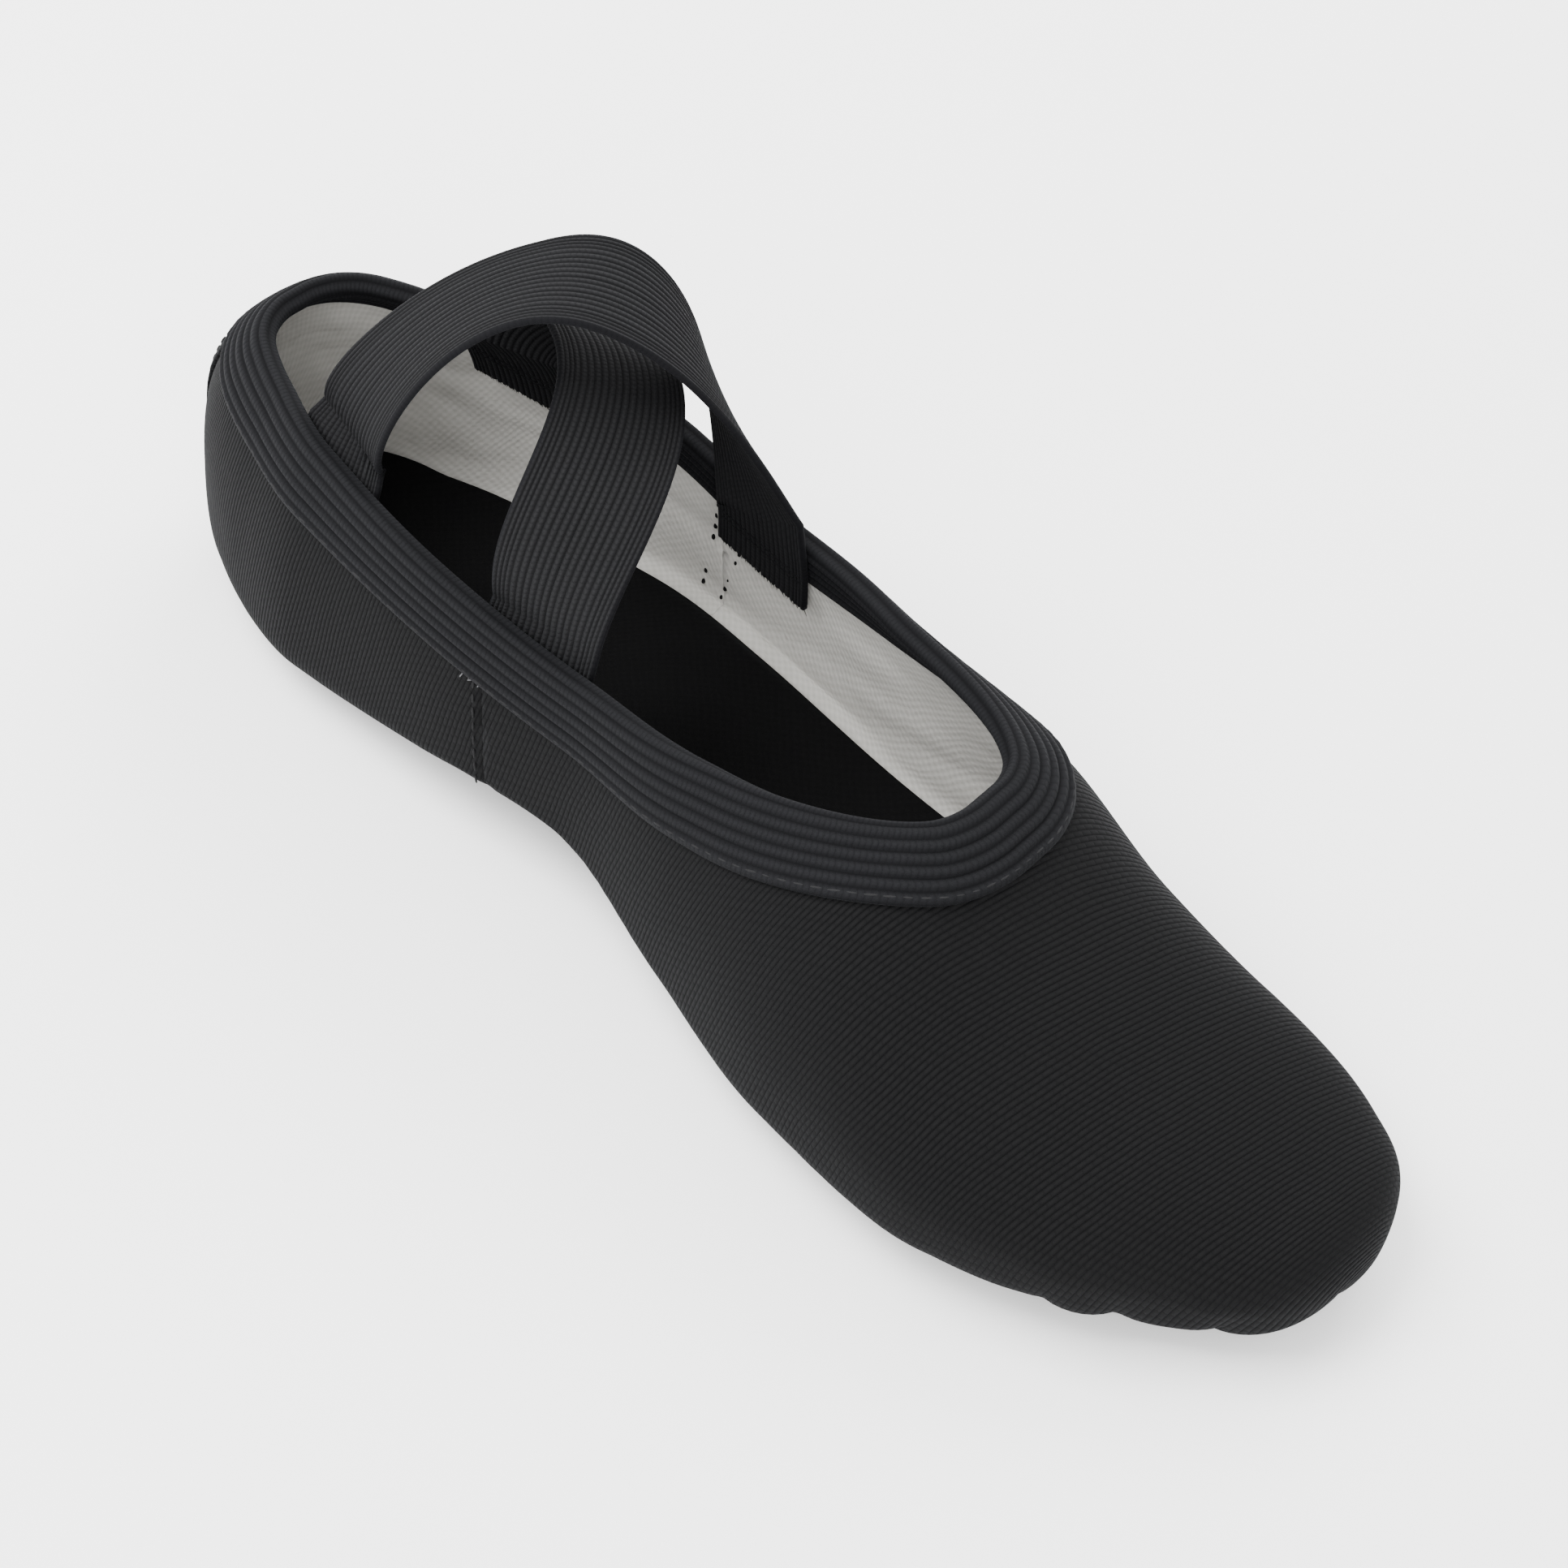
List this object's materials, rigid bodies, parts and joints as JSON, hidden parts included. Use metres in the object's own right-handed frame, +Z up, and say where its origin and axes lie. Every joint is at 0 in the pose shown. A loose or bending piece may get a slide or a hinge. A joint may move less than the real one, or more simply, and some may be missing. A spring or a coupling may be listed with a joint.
{
  "type": "ballet slipper",
  "caption": "Split-sole canvas ballet slipper for the right foot, with a folded elastic topline binding and crossed elastic instep straps.",
  "frame": {"origin": "on the floor plane, under the centre of the slipper's bounding box", "axes": "+X to the toe, +Y to the wearer's left, +Z up; the slipper stands flat on its two suede patches"},
  "size_m": [0.2406, 0.0789, 0.09],
  "materials": {
    "canvas": "fine diagonal twill, charcoal black",
    "lining": "plain off-white cotton",
    "elastic": "ribbed elastic, charcoal black",
    "suede": "napped black suede",
    "sock": "matte black brushed cotton",
    "padding": "needled cotton pad",
    "thread": "grey-black twisted thread"
  },
  "bodies": {
    "forefoot": {"vamp_canvas": "canvas", "vamp_lining": "lining", "topline_binding": "elastic", "insole_sock": "sock", "forefoot_pad": "padding", "forefoot_sole_patch": "suede", "binding_stitching": "thread", "forefoot_patch_stitching": "thread"},
    "heel": {"quarter_canvas_left": "canvas", "quarter_canvas_right": "canvas", "quarter_lining": "lining", "back_strip": "canvas", "heel_sole_patch": "suede", "heel_pad": "padding", "over_strap_ends": "elastic", "under_strap_ends": "elastic", "back_strip_stitching": "thread", "side_seam_stitching_left": "thread", "side_seam_stitching_right": "thread", "strap_tacks": "thread", "heel_patch_stitching": "thread"},
    "over_strap": {"over_strap": "elastic"},
    "under_strap": {"under_strap": "elastic"}
  },
  "joints": [
    {"name": "arch_flex", "type": "hinge", "parent": "forefoot", "child": "heel", "pos_m": [-0.012, 0, 0.0055], "axis": [0, -1, 0], "range_deg": [0, 25], "deforming": ["topline_binding", "insole_sock"]},
    {"name": "over_strap_sway", "type": "hinge", "parent": "heel", "child": "over_strap", "pos_m": [-0.05, 0.00849, 0.04964], "axis": [0.7981, 0.597, -0.0816], "range_deg": [-15, 15], "stiffness_Nm_per_rad": 0.02, "deforming": ["over_strap_ends"]},
    {"name": "under_strap_sway", "type": "hinge", "parent": "heel", "child": "under_strap", "pos_m": [-0.05275, 0.00297, 0.04978], "axis": [-0.7732, 0.6287, 0.0835], "range_deg": [-15, 15], "stiffness_Nm_per_rad": 0.02, "deforming": ["under_strap_ends"]}
  ]
}
